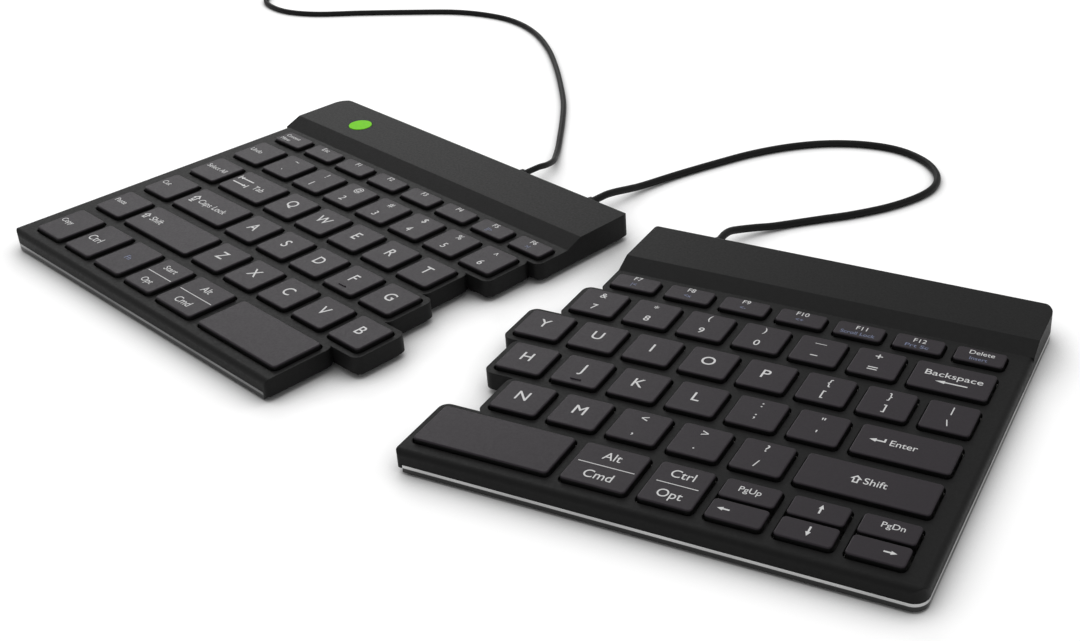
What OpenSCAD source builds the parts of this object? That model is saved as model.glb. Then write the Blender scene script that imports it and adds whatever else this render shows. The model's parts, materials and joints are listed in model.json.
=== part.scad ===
// Split keyboard: two halves joined by a link cable, with a host cable and a plug.
// Frame: +X right, +Y away from the user, +Z up, origin under the middle of both halves.
// Each half is drawn in its own frame: the front left corner of the number row is (0, 0).

/* [Key grid] */
// Spacing of neighbouring keys, across and along the rows
key_pitch = 19; // [18.5:0.05:20]
// Width of a letter key
key_w = 15.3; // [14.5:0.1:15.8]
// Depth of a letter key
key_d = 14.3; // [13.8:0.1:15]
// Spacing of the function keys
f_pitch = 19.65; // [19.4:0.05:19.8]
// Width of a function key
f_key_w = 15.8; // [14.5:0.1:16.2]
// Depth of a function key
f_key_d = 7.8; // [7:0.1:9]
// Depth of a key in the bottom row
low_key_d = 17.4; // [16:0.1:18.5]
// Rounding of the key corners, seen from above
key_r = 1.3; // [0.8:0.1:2]
// Step to the right of the second letter row
home_step = 4.75; // [4:0.05:6]
// Step to the right of the third letter row
lower_step = 9.5; // [8:0.05:10]

/* [Bottom row and right hand keys] */
// Width of the left Alt key
left_alt_w = 20; // [18:0.1:21]
// Gap between the left Alt key and the left space bar
left_space_gap = 4.6; // [3:0.1:6]
// Width of the left space bar
left_space_w = 41.2; // [38:0.1:44]
// Left edge of the right space bar
right_space_x = -6.4; // [-7:0.1:-5]
// Width of the right space bar
right_space_w = 43; // [40:0.1:43.5]
// Width of the right Ctrl key and of the arrow keys
arrow_w = 16.2; // [15:0.1:16.6]
// Gap between the two short keys of an arrow column
arrow_split = 1.2; // [0.8:0.1:2]

/* [Key stack] */
// Height of the rubber feet
foot_h = 0.8; // [0.5:0.1:2]
// Sheet of the steel base plate
plate_t = 1.2; // [0.8:0.1:1.4]
// Height of the base plate's upturned lip
lip_h = 2.5; // [2.2:0.1:3.2]
// Sheet of the switch plate
switch_t = 0.6; // [0.4:0.1:1]
// Membrane layers together
membrane_t = 0.4; // [0.3:0.1:0.6]
// Rubber sheet under the domes
sheet_t = 0.3; // [0.2:0.1:0.5]
// Height of a rubber dome above its sheet
dome_h = 3.1; // [2.8:0.1:3.4]
// Width of a dome at its foot
dome_d = 6; // [5:0.1:6.2]
// Width of a dome at its top
dome_top_d = 4; // [3:0.1:4.5]
// Height of a key cap
cap_h = 3.6; // [3:0.1:4]
// Thickness of a key cap's top
cap_top = 1.2; // [1:0.1:1.5]
// Thickness of a key cap's skirt
cap_wall = 1; // [0.8:0.1:1.2]
// Width of the plunger under a key cap
stem_d = 3; // [2:0.1:3.5]
// Length of the plunger
stem_h = 1.8; // [1.5:0.1:2.2]
// Height of the key tops over the deck
key_proud = 1.4; // [1:0.1:2]
// Gap round a key in the deck
key_gap = 0.6; // [0.4:0.05:0.8]
// Rest gap between a plunger and its dome
dome_gap = 0.1; // [0.05:0.05:0.3]

/* [Scissor levers] */
// Length of a scissor frame
lever_l = 12; // [10:0.1:12.2]
// Width of the outer scissor frame
lever_w = 11.4; // [10.5:0.1:11.6]
// Width of a bar of a scissor frame
lever_bar = 1; // [0.8:0.1:1.1]
// Thickness of a scissor frame
lever_t = 0.8; // [0.5:0.1:0.9]
// Tilt of a scissor frame at rest
lever_tilt = 18; // [15:0.5:19]
// Gap between the two frames of a pair
lever_gap = 0.3; // [0.2:0.05:0.4]
// Width of the pins that join a pair
pin_d = 0.56; // [0.4:0.02:0.6]

/* [Case] */
// Deck from the bottom row to the front edge
front_margin = 5.2; // [4.6:0.1:8]
// Deck from the outer column to the left half's outer side
left_margin = 8.4; // [6:0.1:12]
// Deck from the keys to the right half's outer side
right_margin = 7.4; // [6:0.1:12]
// Deck from the keys to the stepped inner side
inner_margin = 2.6; // [2.2:0.1:4]
// Deck between the function keys and the foot of the hump
hump_gap = 3.6; // [2:0.1:6]
// Depth of the hump's slanted front
hump_slope = 6.5; // [4:0.1:8]
// Depth of the hump from foot to rear edge
hump_d = 30.7; // [24:0.1:36]
// Height of the hump over the deck
hump_rise = 2.7; // [1.5:0.1:4]
// Rounding of the hump's rear edge
hump_r = 1.8; // [1:0.1:2.4]
// Rounding of the case's upright corners at the outer front
outer_r = 4.5; // [3:0.1:6]
// Rounding of the case's upright corners at the outer rear
rear_r = 7; // [3:0.1:7.5]
// Rounding of the steps on the inner side
case_r = 3; // [2.2:0.1:4]
// Rounding of the inner front corners
front_r = 1.2; // [0.8:0.1:1.8]
// Thickness of the case's walls
case_wall = 2; // [1.6:0.1:2.2]
// Thickness of the deck and of the hump's roof
deck_t = 1.6; // [1.2:0.1:2]
// Rounding of the deck's front and outer edges
edge_r = 1.8; // [0.5:0.1:2]
// Base plate's edge from the case's inner and rear sides
plate_inset = 1.6; // [1:0.1:1.8]
// Gap between sheets and the walls round them
seat_gap = 0.2; // [0.1:0.05:0.3]

/* [Placing of the halves] */
// Turn of each half away from straight
half_yaw = 8.6; // [0:0.1:15]
// Left half's corner from the right half's, along X
left_dx = -183.3; // [-230:0.1:-180]
// Left half's corner from the right half's, along Y
left_dy = 25.7; // [10:0.1:40]

/* [Fastenings and feet] */
// Width of a screw's shank
screw_d = 2; // [1.5:0.1:2.2]
// Width of a screw's head
screw_head_d = 4.2; // [3:0.1:4.5]
// Height of a screw's head
screw_head_h = 0.6; // [0.4:0.1:0.7]
// Depth of a screw in its boss
screw_grip = 4; // [3:0.1:4.2]
// Width of a screw boss
boss_d = 3.4; // [3:0.1:3.6]
// Play round a screw
screw_gap = 0.15; // [0.1:0.05:0.2]
// Width of a rubber foot
foot_d = 10; // [6:0.5:14]
// Feet from the case's edges
foot_edge = 5; // [3:0.5:8]
// Rear feet from the hump's screws
foot_clear = 3.5; // [2:0.5:6]
// Screws in the hump from the case's ends
boss_inset = 8; // [6:0.5:12]

/* [Electronics] */
// Length of the controller board in the left hump
board_l = 70; // [50:1:90]
// Length of the link board in the right hump
link_board_l = 40; // [30:1:60]
// Depth of both boards
board_d = 16; // [12:0.5:17]
// Thickness of both boards
board_t = 1.6; // [1:0.1:1.6]
// Height of a board's top over the base plate
board_rise = 3.6; // [3:0.1:4.5]
// Width of the posts that hold a board
post_d = 4; // [3:0.1:5]
// Side of the controller chip
chip_w = 9; // [6:0.5:11]
// Height of a chip
chip_h = 1.2; // [0.8:0.1:1.5]
// Length of a small part on a board
part_w = 4; // [2:0.5:6]
// Depth of a small part on a board
part_d = 2; // [1:0.5:3]
// Small parts from a board's edge
part_edge = 1.5; // [1:0.5:3]
// Controller board from the left hump's outer screw
board_inset = 24; // [18:1:30]
// Link board from the right hump's inner end
link_board_inset = 14; // [13:1:20]
// Boards from the hump's slanted front
board_gap = 1; // [0.5:0.5:3]
// Status light from the left edge of the outer column
light_x = 18.5; // [12:0.5:30]
// Status light behind the hump's slanted front
light_y = 10; // [8:0.1:14]
// Width of the status light
light_d = 9; // [6:0.1:12]
// Status light over the hump's roof
light_proud = 0.15; // [0.1:0.05:0.4]
// Rim under the status light
light_rim = 1; // [0.6:0.1:2]

/* [Cables] */
// Width of the link cable
link_d = 2.8; // [2.4:0.1:3.2]
// Width of the host cable
host_d = 2.4; // [2:0.1:2.8]
// Width of a strain relief
relief_d = 4.8; // [4.4:0.1:5]
// Width of a strain relief at its tip
relief_tip_d = 3.8; // [3.4:0.1:4.2]
// Length of a strain relief behind the case
relief_l = 4; // [3:0.5:8]
// Height of the strain reliefs
relief_z = 6.1; // [5.6:0.1:6.1]
// Flange of a strain relief inside the wall
relief_rim = 0.5; // [0.4:0.1:0.6]
// Host cable's relief from the left edge of the outer column
host_relief_x = 95; // [60:0.5:110]
// Link cable's relief on the left half, from the left edge of the outer column
left_link_x = 132; // [115:0.5:138]
// Link cable's relief on the right half, from the left edge of the number row
right_link_x = 24; // [18:0.5:60]
// Coil radius at the middle of its turns
coil_r = 14; // [13:0.5:16]
// Turns in one layer of the coil
coil_turns = 3; // [2:1:4]
// Layers of the coil, an even number
coil_layers = 4; // [2:2:4]
// Spacing of the coil's turns and layers beyond the cable's width
coil_gap = 0.55; // [0.5:0.05:1]
// Thickness of the strap round the coil
tie_t = 0.8; // [0.6:0.1:1.2]
// Width of the strap
tie_w = 6; // [4:0.5:10]
// Clearance inside the strap
tie_gap = 0.4; // [0.3:0.05:0.6]
// Straight run of the cable into the coil
lead_l = 9; // [6:1:15]
// Run of the cable from the coil down to the plug
tail_l = 34; // [25:1:50]
// Length of the plug's grip
grip_l = 26; // [20:1:36]
// Width of the plug's grip
grip_w = 15; // [14:0.5:18]
// Height of the plug's grip
grip_h = 7.5; // [7:0.1:9]
// Length of the plug's metal shell
shell_l = 18.5; // [15:0.5:20]
// Width of the metal shell
shell_w = 12; // [11.8:0.1:12.2]
// Height of the metal shell
shell_h = 4.5; // [4.3:0.1:4.7]
// Sheet of the metal shell
shell_t = 0.4; // [0.3:0.05:0.5]

/* [Hidden] */
$fn = 48;
pin_fn = 24;
eps = 0.01;
// How far a cut runs past what it cuts
over = 1;

// Heights, from the surface the keyboard stands on
plate_z = foot_h;
switch_z = plate_z + plate_t;
wall_z = switch_z + seat_gap;
membrane_z = switch_z + switch_t;
sheet_z = membrane_z + membrane_t;
dome_z = sheet_z + sheet_t;
stem_z = dome_z + dome_h + dome_gap;
cap_under = stem_z + stem_h;
key_top = cap_under + cap_top;
deck_z = key_top - key_proud;
hump_z = deck_z + hump_rise;
roof_z = hump_z - deck_t;
board_z = switch_z + board_rise;

// Rows: 1 function keys, 2 numbers, 3 to 5 letters, 6 bottom row; front edge and depth
row_gap = key_pitch - key_d;
key_space = key_pitch - key_w;
low_y = -3 * key_pitch - row_gap - low_key_d;
function row_y(r) = r == 1 ? key_d + row_gap : r == 6 ? low_y : -(r - 2) * key_pitch;
function row_d(r) = r == 1 ? f_key_d : r == 6 ? low_key_d : key_d;
front_y = low_y - front_margin;
foot_y = row_y(1) + f_key_d + hump_gap;
rear_y = foot_y + hump_d;

// A key is [left edge, front edge, width, depth]; a wide key spans some pitches
function key(x, r, w = key_w) = [x, row_y(r), w, row_d(r)];
function span(u) = u * key_pitch - key_space;
function run(x, r, count) = [for (i = [0 : count - 1]) key(x + i * key_pitch, r)];

// Left half; Tab spans one and a half pitches
tab_units = 1.5;
main_x = key_pitch;
upper_x = main_x + tab_units * key_pitch;
home_x = upper_x + home_step;
lower_x = home_x + lower_step;
side_keys = [for (r = [1 : 6]) key(0, r)];
escape = [key(main_x, 1, f_key_w)];
left_functions = [for (i = [1 : 6]) key(main_x + i * f_pitch, 1, f_key_w)];
left_numbers = run(main_x, 2, 7);
tab = [key(main_x, 3, span(tab_units))];
left_upper = run(upper_x, 3, 5);
caps_lock = [key(main_x, 4, home_x - main_x - key_space)];
left_home = run(home_x, 4, 5);
left_shift = [key(main_x, 5, lower_x - main_x - key_space)];
left_lower = run(lower_x, 5, 5);
left_low = [for (i = [0 : 2]) key(main_x + i * key_pitch, 6)];
left_alt_x = main_x + 3 * key_pitch;
left_space_x = left_alt_x + left_alt_w + left_space_gap;
left_alt = [key(left_alt_x, 6, left_alt_w)];
left_space = [key(left_space_x, 6, left_space_w)];
left_tall = concat([for (k = side_keys) if (k[3] > f_key_d) k], left_numbers, tab, left_upper, caps_lock,
  left_home, left_shift, left_lower, left_low, left_alt, left_space);
left_short = concat([side_keys[0]], escape, left_functions);

// Right half; its letters start half a pitch left of its numbers
right_upper_x = -key_pitch / 2;
right_home_x = right_upper_x + home_step;
right_lower_x = right_home_x + lower_step;
right_end = right_upper_x + 7 * key_pitch + key_w;
function to_end(x, r) = [key(x, r, right_end - x)];
right_f_x = right_end - f_key_w - 6 * f_pitch;
right_functions = [for (i = [0 : 5]) key(right_f_x + i * f_pitch, 1, f_key_w)];
delete = [key(right_f_x + 6 * f_pitch, 1, f_key_w)];
right_numbers = run(0, 2, 6);
backspace = to_end(6 * key_pitch, 2);
right_upper = run(right_upper_x, 3, 8);
right_home = run(right_home_x, 4, 6);
enter = to_end(right_home_x + 6 * key_pitch, 4);
right_lower = run(right_lower_x, 5, 5);
right_shift = to_end(right_lower_x + 5 * key_pitch, 5);
right_space = [key(right_space_x, 6, right_space_w)];
function arrow_x(i) = right_end - arrow_w - (2 - i) * f_pitch;
arrow_space = f_pitch - arrow_w;
// The right Alt key fills the row between the space bar and the Ctrl key
right_alt_x = right_space_x + right_space_w + key_space;
right_alt = [key(right_alt_x, 6, arrow_x(-1) - arrow_space - right_alt_x)];
right_ctrl = [key(arrow_x(-1), 6, arrow_w)];
arrow_d = (low_key_d - arrow_split) / 2;
function arrow(i, rear) = [[arrow_x(i), low_y + rear * (arrow_d + arrow_split), arrow_w, arrow_d]];
arrow_wells = [for (i = [0 : 2]) key(arrow_x(i), 6, arrow_w)];
arrow_keys = concat([for (i = [0 : 2]) each arrow(i, 0)], [for (i = [0 : 2]) each arrow(i, 1)]);
right_tall = concat(right_numbers, backspace, right_upper, right_home, enter, right_lower, right_shift,
  right_space, right_alt, right_ctrl);
right_short = concat(right_functions, delete, arrow_keys);

// Wells in the deck, and the keys with levers, for a side: 0 left, 1 right
wells = [concat(left_tall, left_short), concat(right_tall, right_functions, delete, arrow_wells)];
tall_keys = [left_tall, right_tall];
short_keys = [left_short, right_short];

// Outer edge, and the stepped inner edge row by row
outer_x = [-left_margin, right_end + right_margin];
inner_x = [
  [left_functions[5][0] + f_key_w, left_numbers[6][0] + key_w, left_upper[4][0] + key_w,
    left_home[4][0] + key_w, left_lower[4][0] + key_w, left_space_x + left_space_w],
  [right_f_x, 0, right_upper_x, right_home_x, right_lower_x, right_space_x]];
function inner_edge(s, r) = inner_x[s][r - 1] + (s == 0 ? inner_margin : -inner_margin);
function band_y0(r) = r == 6 ? front_y : row_y(r) - inner_margin;
function band_y1(r) = r == 1 ? rear_y : row_y(r) + row_d(r) + inner_margin;
// Rounding of the outline when it is drawn in by an inset
least_r = 0.4;
function drawn_r(r, inset) = max(r - inset, least_r);
// The main block ends inside every row's inner edge
block_x = [min(inner_x[0]) - case_r, max(inner_x[1]) + case_r];
// Past either end of a half
reach = outer_x[1] - 2 * outer_x[0];

// Screws stand between the rows, and two in the hump
boss_x = [[main_x - key_space / 2, left_upper[3][0] - key_space / 2],
  [right_upper[2][0] - key_space / 2, right_home[5][0] - key_space / 2]];
boss_y = [row_y(5) - row_gap / 2, row_y(2) + key_d + row_gap / 2];
field_bosses = [for (s = [0, 1]) [for (x = boss_x[s]) for (y = boss_y) [x, y]]];
hump_boss_y = rear_y - case_wall - boss_d;
hump_boss_x = [[outer_x[0] + boss_inset, inner_edge(0, 1) - boss_inset],
  [inner_edge(1, 1) + boss_inset, outer_x[1] - boss_inset]];
hump_bosses = [for (s = [0, 1]) [for (x = hump_boss_x[s]) [x, hump_boss_y]]];
bosses = [for (s = [0, 1]) concat(field_bosses[s], hump_bosses[s])];
foot_inset = foot_d / 2 + foot_edge;
feet_x = [[outer_x[0] + foot_inset, block_x[0] - foot_inset],
  [block_x[1] + foot_inset, outer_x[1] - foot_inset]];
feet_y = [front_y + foot_inset, hump_boss_y - screw_head_d / 2 - foot_clear - foot_d / 2];

// Boards and light
board_y = foot_y + hump_slope + board_gap;
board_x = [hump_boss_x[0][0] + board_inset, inner_edge(1, 1) + link_board_inset];
board_len = [board_l, link_board_l];
light_pos = [light_x, foot_y + hump_slope + light_y];

// Strain reliefs, in their half's frame, and where the cables begin
reliefs = [[host_relief_x, left_link_x], [right_link_x]];

// Placing: the outline's upright corners, each with its rounding, give the middle of the object
function turn(p, a) = [p[0] * cos(a) - p[1] * sin(a), p[0] * sin(a) + p[1] * cos(a)];
function corner(x, y, r, side, rear) = [x - side * r, y - rear * r, r];
left_corners = [corner(outer_x[0], front_y, outer_r, -1, -1), corner(outer_x[0], rear_y, rear_r, -1, 1),
  corner(inner_edge(0, 6), front_y, front_r, 1, -1), corner(inner_edge(0, 1), rear_y, case_r, 1, 1),
  corner(inner_edge(0, 5), band_y0(5), case_r, 1, -1)];
right_corners = [corner(outer_x[1], front_y, outer_r, 1, -1), corner(outer_x[1], rear_y, rear_r, 1, 1),
  corner(inner_edge(1, 6), front_y, front_r, -1, -1), corner(inner_edge(1, 1), rear_y, case_r, -1, 1)];
function turned(p, a) = [each turn(p, a), p[2]];
corners = concat([for (p = left_corners) [left_dx, left_dy, 0] + turned(p, -half_yaw)],
  [for (p = right_corners) turned(p, half_yaw)]);
function middle(i) = (min([for (p = corners) p[i] - p[2]]) + max([for (p = corners) p[i] + p[2]])) / 2;
right_x = -middle(0);
right_y = -middle(1);
half_pos = [[right_x + left_dx, right_y + left_dy], [right_x, right_y]];
half_turn = [-half_yaw, half_yaw];
function place(s, x, y) = half_pos[s] + turn([x, y], half_turn[s]);
function ahead(s) = turn([0, 1], half_turn[s]);

// Cable routes
cable_sides = 8;
relief_end = rear_y + relief_l;
function up(p, z) = [p[0], p[1], z];
function leave(s, x, far, z) = up(place(s, x, relief_end) + far * ahead(s), z);
link_route = [leave(0, left_link_x, 0, relief_z), leave(0, left_link_x, 4, relief_z),
  leave(0, left_link_x, 8, 6), leave(0, left_link_x, 13, 5.2), leave(0, left_link_x, 20, 3.7),
  [-15.5, 96.5, 2.3], [-10.5, 112.5, 1.5], [-3.5, 128.5, 1.4], [4.5, 144.5, 1.4], [14.5, 158.5, 1.4],
  [26.5, 169.5, 1.4], [40.5, 176.5, 1.4], [54.5, 178.5, 1.4], [67.5, 174.5, 1.4], [76.5, 166.5, 1.4],
  [80.5, 156.5, 1.4], [79.5, 145.5, 1.4], [73.5, 131.5, 1.4], [64.5, 118.5, 1.4], [56.5, 109.5, 1.4],
  [49.5, 101.5, 1.4], [44, 94, 1.9], [40.5, 88.5, 2.9], [37.5, 82, 4.3], [36.5, 77, 5.6],
  leave(1, right_link_x, 6, relief_z), leave(1, right_link_x, 3, relief_z),
  leave(1, right_link_x, 0, relief_z)];
host_route = [leave(0, host_relief_x, 0, relief_z), leave(0, host_relief_x, 4, relief_z),
  leave(0, host_relief_x, 8, 6), [-55, 87.5, 5], [-57, 94, 3.5], [-61, 100.5, 2.1], [-66, 108.5, 1.3],
  [-72, 117.5, 1.2], [-81.5, 131.5, 1.2], [-92.5, 146.5, 1.2], [-105.5, 161.5, 1.2], [-121.5, 178.5, 1.2],
  [-138.5, 194.5, 1.2], [-156.5, 207.5, 1.2], [-173.5, 214.5, 1.2], [-189.5, 215.5, 1.2],
  [-208.5, 210.5, 1.2], [-229.5, 197.5, 1.2], [-248.5, 184.5, 1.2], [-266.5, 171.5, 1.2],
  [-282.5, 166.5, 1.2], [-297.5, 169.5, 1.2], [-305.5, 176.5, 1.3], [-309.5, 185.5, 1.8]];

// Coil: spirals in and out, layer on layer, and climbs in the half turn where the spiral reverses
coil_pitch = host_d + coil_gap;
coil_out = coil_r + coil_turns * coil_pitch / 2;
coil_low = tie_t + tie_gap + host_d / 2;
coil_mid = [-329.5, 205.5];
coil_start = 0;
coil_rings = 24;
coil_sides = 6;
// A climb to the next layer takes this share of a turn
climb = 0.5;
function ramp(t) = t <= 0 ? 0 : t >= 1 ? 1 : t * t * (3 - 2 * t);
function coil_radius(u) = let (k = floor(u / coil_turns), v = u - k * coil_turns)
  coil_out - coil_pitch * (k % 2 == 0 ? v : coil_turns - v);
function coil_height(u) = coil_low + coil_pitch *
  sumv([for (k = [1 : coil_layers - 1]) ramp((u - k * coil_turns) / climb + climb)]);
function sumv(list, i = 0) = i >= len(list) ? 0 : list[i] + sumv(list, i + 1);
function coil_point(u) = let (a = coil_start + 360 * u, r = coil_radius(u))
  [coil_mid[0] + r * cos(a), coil_mid[1] + r * sin(a), coil_height(u)];
coil_total = coil_turns * coil_layers;
coil_loops = [for (i = [0 : coil_rings * coil_total]) coil_point(i / coil_rings)];

// Direction of the cable where it comes into the coil and where it leaves the coil
coil_in = [-sin(coil_start), cos(coil_start), 0];
coil_end_a = coil_start + 360 * coil_total;
tail_out = [-sin(coil_end_a), cos(coil_end_a), 0];
tail_steps = 10;
// The tail runs level for this share of its length at each end
tail_level = 0.15;
plug_z = grip_h / 2;
coil_top = coil_loops[len(coil_loops) - 1];
function tail_drop(t) = (plug_z - coil_top[2]) * ramp((t - tail_level) / (1 - 2 * tail_level));
tail = [for (i = [1 : tail_steps]) let (t = i / tail_steps)
  coil_top + tail_out * tail_l * t + [0, 0, tail_drop(t)]];
// The cable's node ends on the straight run, and the coil's node begins there
function lead(t) = coil_loops[0] - coil_in * lead_l * t;
host_full = concat(host_route, [lead(1), lead(2 / 3), lead(1 / 3)]);
coil_route = concat([lead(1 / 3), lead(1 / 6)], coil_loops, tail);
plug_pos = coil_route[len(coil_route) - 1];

// Least gap of the coil to itself, between points over half a turn apart
last_ring = len(coil_loops) - 1;
gap_step = 3;
coil_gaps = [for (i = [0 : gap_step : last_ring]) for (j = [i + coil_rings / 2 : last_ring])
  norm(coil_loops[i] - coil_loops[j])];
coil_self_gap = min(coil_gaps) - host_d;

// Shapes that repeat

module rounded(x0, y0, x1, y1, r) {
  translate([x0 + r, y0]) square([x1 - x0 - 2 * r, y1 - y0]);
  translate([x0, y0 + r]) square([x1 - x0, y1 - y0 - 2 * r]);
  for (x = [x0 + r, x1 - r], y = [y0 + r, y1 - r]) translate([x, y]) circle(r);
}

module half(s) {
  translate([half_pos[s][0], half_pos[s][1], 0]) rotate(half_turn[s]) children();
}

module band(s, r, inset) {
  e = inner_edge(s, r) + (s == 0 ? -inset : inset);
  m = (block_x[0] + block_x[1]) / 2;
  rounded(min(e, m), band_y0(r) + inset, max(e, m), band_y1(r) - inset, drawn_r(case_r, inset));
  if (r == 6) rounded(min(e, m), front_y + inset, max(e, m), low_y, drawn_r(front_r, inset));
}

module outline(s, inset = 0) {
  o = outer_x[s] + (s == 0 ? inset : -inset);
  x0 = min(o, block_x[s]);
  x1 = max(o, block_x[s]);
  rounded(x0, front_y + inset, x1, foot_y, drawn_r(outer_r, inset));
  rounded(x0, row_y(3), x1, rear_y - inset, drawn_r(rear_r, inset));
  for (r = [1 : 6]) band(s, r, inset);
}

// The front and the outer side, where the base plate's lip shows
module lip_zone(s, grow = 0) {
  start = inner_edge(s, 6) + (s == 0 ? -case_wall + grow : case_wall - grow);
  o = outer_x[s] + (s == 0 ? -over : over);
  w = case_r + over;
  translate([min(start, o), front_y - over]) square([abs(o - start), w]);
  translate([s == 0 ? o : o - w, front_y - over]) square([w, rear_y - front_y - case_r + grow]);
}

module key_shape(k, grow = 0) {
  rounded(k[0] - grow, k[1] - grow, k[0] + k[2] + grow, k[1] + k[3] + grow, key_r + grow);
}

module caps(s, keys) {
  color([0.24, 0.23, 0.25]) half(s) for (k = keys) {
    difference() {
      translate([0, 0, key_top - cap_h]) linear_extrude(cap_h) key_shape(k);
      translate([0, 0, key_top - cap_h - over]) linear_extrude(cap_h - cap_top + over)
        key_shape(k, -cap_wall);
    }
    at_middle(k) translate([0, 0, stem_z]) cylinder(d = stem_d, h = stem_h + cap_top / 2);
  }
}

module at_middle(k) {
  translate([k[0] + k[2] / 2, k[1] + k[3] / 2, 0]) children();
}

function swept(path, i, r, sides) =
  let (a = path[max(i - 1, 0)], b = path[min(i + 1, len(path) - 1)], t = (b - a) / norm(b - a),
    side = cross(t, [0, 0, 1]), n = side / norm(side), m = cross(n, t))
  [for (j = [0 : sides - 1]) path[i] + r * (n * cos(360 * j / sides) + m * sin(360 * j / sides))];

module tube(path, d, sides) {
  rings = len(path);
  points = [for (i = [0 : rings - 1]) each swept(path, i, d / 2, sides)];
  sides_a = [for (i = [0 : rings - 2], j = [0 : sides - 1])
    [i * sides + j, i * sides + (j + 1) % sides, (i + 1) * sides + j]];
  sides_b = [for (i = [0 : rings - 2], j = [0 : sides - 1])
    [i * sides + (j + 1) % sides, (i + 1) * sides + (j + 1) % sides, (i + 1) * sides + j]];
  first = [for (j = [1 : sides - 2]) [0, j + 1, j]];
  end = (rings - 1) * sides;
  last = [for (j = [1 : sides - 2]) [end, end + j, end + j + 1]];
  polyhedron(points, concat(sides_a, sides_b, first, last));
}

// A smooth curve through the route's points
function between(a, b, c, d, t) = 0.5 * (2 * b + (c - a) * t + (2 * a - 5 * b + 4 * c - d) * t * t
  + (3 * b - a - 3 * c + d) * t * t * t);
function smooth(route, steps) = [for (i = [0 : len(route) - 2], j = [0 : steps - 1])
  between(route[max(i - 1, 0)], route[i], route[i + 1], route[min(i + 2, len(route) - 1)], j / steps),
  route[len(route) - 1]];

// Sub-parts of a half

module top_case(s) {
  color([0.16, 0.16, 0.17]) half(s) difference() {
    union() {
      difference() {
        union() {
          translate([0, 0, wall_z]) linear_extrude(deck_z - wall_z) outline(s);
          hump(s);
        }
        translate([0, 0, wall_z - over]) linear_extrude(deck_z - deck_t - wall_z + over)
          outline(s, case_wall);
        hump_space(s);
        translate([0, 0, deck_z - deck_t - over]) linear_extrude(deck_t + 2 * over)
          for (k = wells[s]) key_shape(k, key_gap);
        lip_slot(s);
        front_rounding();
        side_rounding(s);
      }
      for (p = bosses[s]) translate([p[0], p[1], switch_z])
        cylinder(d = boss_d, h = (p[1] > foot_y ? roof_z : deck_z - deck_t) + eps - switch_z);
      for (x = [post_d, board_len[s] - post_d]) translate([board_x[s] + x, board_y + board_d / 2, board_z])
        cylinder(d = post_d, h = roof_z + eps - board_z);
    }
    for (p = bosses[s]) translate([p[0], p[1], plate_z])
      cylinder(d = screw_d + 2 * screw_gap, h = plate_t + screw_grip + screw_gap);
    for (x = reliefs[s]) translate([x, rear_y + over, relief_z]) rotate([90, 0, 0])
      cylinder(d = relief_d + 2 * screw_gap, h = case_wall + 2 * over);
    if (s == 0) translate([light_pos[0], light_pos[1], roof_z - over])
      cylinder(d = light_d + 2 * screw_gap, h = deck_t + 2 * over);
  }
}

// The raised bar along the rear: slanted in front, rounded behind
module hump(s) {
  top_y = rear_y - hump_r;
  intersection() {
    translate([0, 0, plate_z]) linear_extrude(hump_z) outline(s);
    translate([-reach, 0, 0]) rotate([90, 0, 90]) linear_extrude(2 * reach) {
      polygon([[foot_y, deck_z - over], [foot_y, deck_z], [foot_y + hump_slope, hump_z],
        [top_y, hump_z], [top_y, deck_z - over]]);
      translate([top_y - eps, deck_z - over]) square([hump_r + eps, hump_rise - hump_r + over]);
      translate([top_y, hump_z - hump_r]) circle(hump_r);
    }
  }
}

module hump_space(s) {
  y0 = foot_y + hump_slope;
  z0 = deck_z - deck_t - over;
  translate([0, 0, z0]) linear_extrude(roof_z - z0) intersection() {
    outline(s, case_wall);
    translate([-reach, y0]) square([2 * reach, rear_y - y0]);
  }
}

// What the rounding of an edge takes away, with the edge at the origin
module edge_cut() {
  difference() {
    translate([-over, -edge_r]) square([edge_r + over, edge_r + over]);
    translate([edge_r, -edge_r]) circle(edge_r);
  }
}

module front_rounding() {
  translate([-reach, front_y, deck_z]) rotate([90, 0, 90]) linear_extrude(2 * reach) edge_cut();
}

module side_rounding(s) {
  l = foot_y - front_y + over;
  translate([outer_x[s], foot_y - s * l, deck_z]) rotate(180 * s) rotate([90, 0, 0]) linear_extrude(l)
    edge_cut();
}

// Room for the base plate's lip
module lip_slot(s) {
  translate([0, 0, plate_z]) linear_extrude(lip_h + seat_gap) difference() {
    lip_zone(s, seat_gap);
    outline(s, plate_t + seat_gap);
  }
}

module base_plate(s) {
  color([0.72, 0.72, 0.74]) half(s) difference() {
    union() {
      translate([0, 0, plate_z]) linear_extrude(plate_t) {
        outline(s, plate_inset);
        intersection() {
          outline(s);
          lip_zone(s);
        }
      }
      translate([0, 0, plate_z]) linear_extrude(lip_h) intersection() {
        difference() {
          outline(s);
          outline(s, plate_t);
        }
        lip_zone(s);
      }
    }
    for (p = bosses[s]) translate([p[0], p[1], plate_z - over])
      cylinder(d = screw_d + 2 * screw_gap, h = plate_t + 2 * over);
  }
}

// Sheets under the keys, inside the walls and in front of the hump
module key_sheet(s, z, t) {
  translate([0, 0, z]) linear_extrude(t) difference() {
    intersection() {
      outline(s, case_wall + plate_t);
      translate([-reach, front_y]) square([2 * reach, foot_y - front_y]);
    }
    for (p = field_bosses[s]) translate(p) circle(d = boss_d + 4 * seat_gap);
  }
}

module switch_plate(s) {
  color([0.6, 0.6, 0.62]) half(s) key_sheet(s, switch_z, switch_t);
}

module membrane(s) {
  color([0.8, 0.82, 0.78]) half(s) key_sheet(s, membrane_z, membrane_t);
}

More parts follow.
